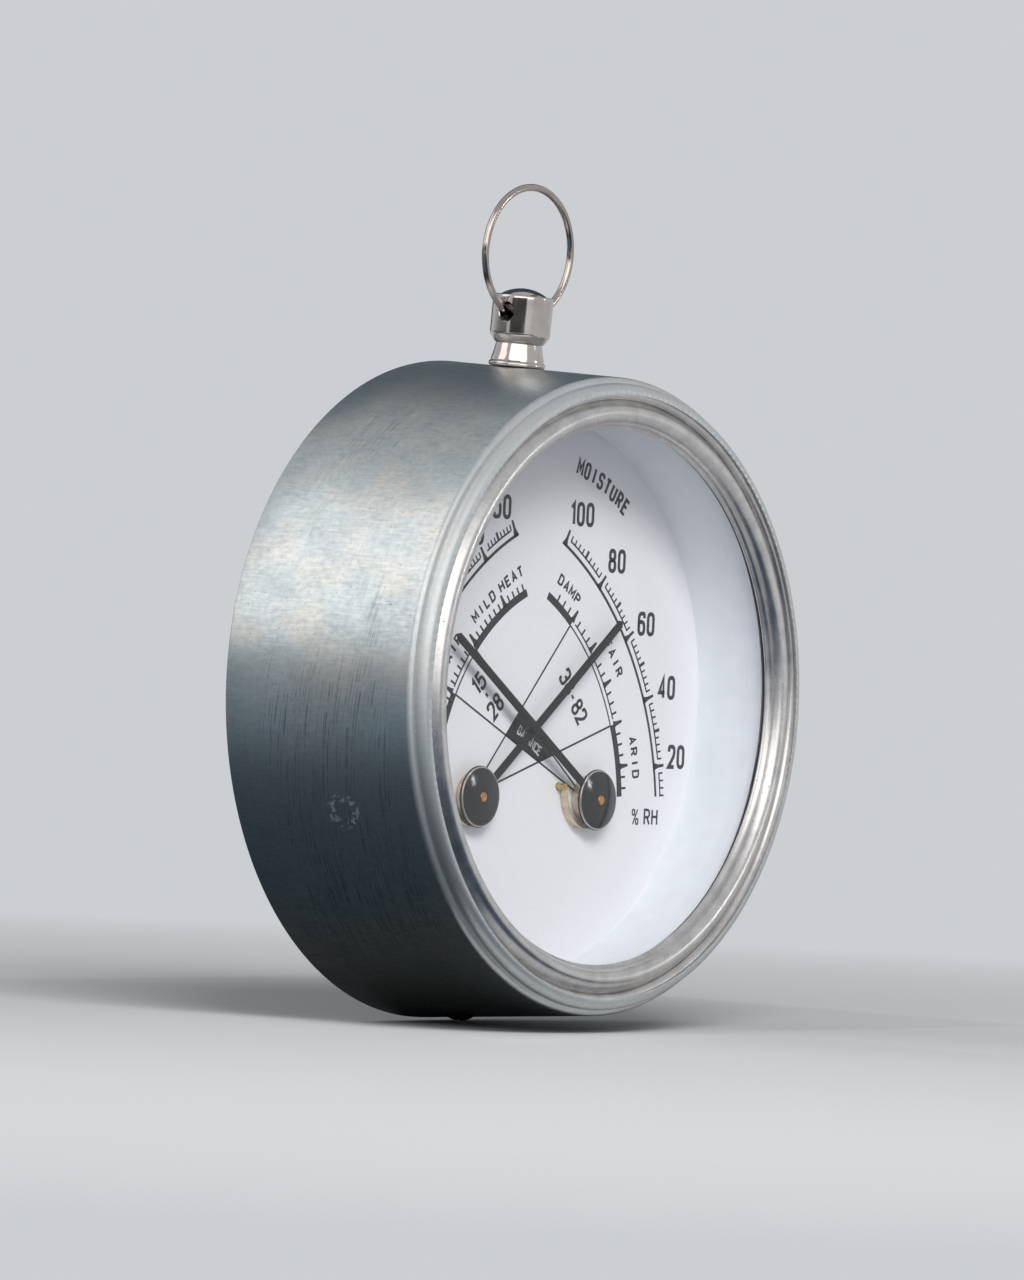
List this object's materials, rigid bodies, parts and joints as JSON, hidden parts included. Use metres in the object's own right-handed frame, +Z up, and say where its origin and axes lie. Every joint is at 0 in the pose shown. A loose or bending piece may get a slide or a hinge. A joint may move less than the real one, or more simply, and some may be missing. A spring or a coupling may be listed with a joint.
{
  "type": "thermo-hygrometer",
  "caption": "Round wall thermo-hygrometer in a tapered steel drum case, with crossed pointers on a white dial, a magnet on the back and a hanging ring in a turned knob.",
  "frame": {"origin": "middle of the magnet's pole face, on the wall plane", "axes": "+Y into the wall, so the dial faces -Y; +Z up, towards the hanging ring; +X to the right as seen from the front"},
  "size_m": [0.1004, 0.036, 0.1273],
  "materials": {
    "galvanised_case": "satin",
    "bezel_steel": "satin",
    "cover_steel": "satin",
    "plate_steel": "satin",
    "zinc_steel": "satin",
    "nickel_plate": "polished",
    "ring_wire": "polished",
    "rubber_black": "matte",
    "clear_glass": "gloss",
    "white_plastic": "matte",
    "dial_white": "matte",
    "ferrite": "matte",
    "brass": "satin",
    "staff_brass": "satin",
    "coil_strip": "satin",
    "pointer_black": "satin",
    "cap_black": "gloss",
    "black_screw": "gloss"
  },
  "bodies": {
    "housing": {"case": "galvanised_case", "bezel_ring": "bezel_steel", "lens_gasket": "rubber_black", "lens": "clear_glass", "dial_sleeve": "white_plastic", "dial_plate": "dial_white", "movement_plate": "plate_steel", "packing_ring": "rubber_black", "rear_cover": "cover_steel", "magnet_cup": "zinc_steel", "magnet": "ferrite", "magnet_washer": "zinc_steel", "magnet_nut": "zinc_steel", "hanger_knob": "nickel_plate", "knob_screw": "zinc_steel", "knob_washer": "zinc_steel", "cover_screw": "black_screw", "cover_screw_nut": "zinc_steel", "humidity_bush": "brass", "humidity_coil": "coil_strip", "humidity_anchor": "brass", "temp_bush": "brass", "temp_coil": "coil_strip", "temp_anchor": "brass"},
    "humidity_hand": {"humidity_staff": "staff_brass", "humidity_stop": "brass", "humidity_collet": "brass", "humidity_pointer": "pointer_black", "humidity_cap": "cap_black"},
    "temp_hand": {"temp_staff": "staff_brass", "temp_stop": "brass", "temp_collet": "brass", "temp_pointer": "pointer_black", "temp_cap": "cap_black"},
    "hanging_ring": {"hanger_ring": "ring_wire"}
  },
  "joints": [
    {"name": "humidity_reading", "type": "hinge", "parent": "housing", "child": "humidity_hand", "pos_m": [-0.0142, -0.0193, -0.0158], "axis": [0, -1, 0], "range_deg": [-33, 23.7], "stiffness_Nm_per_rad": 0.0003, "deforming": ["humidity_coil"]},
    {"name": "temp_reading", "type": "hinge", "parent": "housing", "child": "temp_hand", "pos_m": [0.0142, -0.0193, -0.0158], "axis": [0, 1, 0], "range_deg": [-21.5, 28.9], "stiffness_Nm_per_rad": 0.0003, "deforming": ["temp_coil"]},
    {"name": "ring_swing", "type": "hinge", "parent": "housing", "child": "hanging_ring", "pos_m": [0, -0.01398, 0.05749], "axis": [0.9962, 0.0869, 0.0062], "range_deg": [-110, 110]}
  ]
}
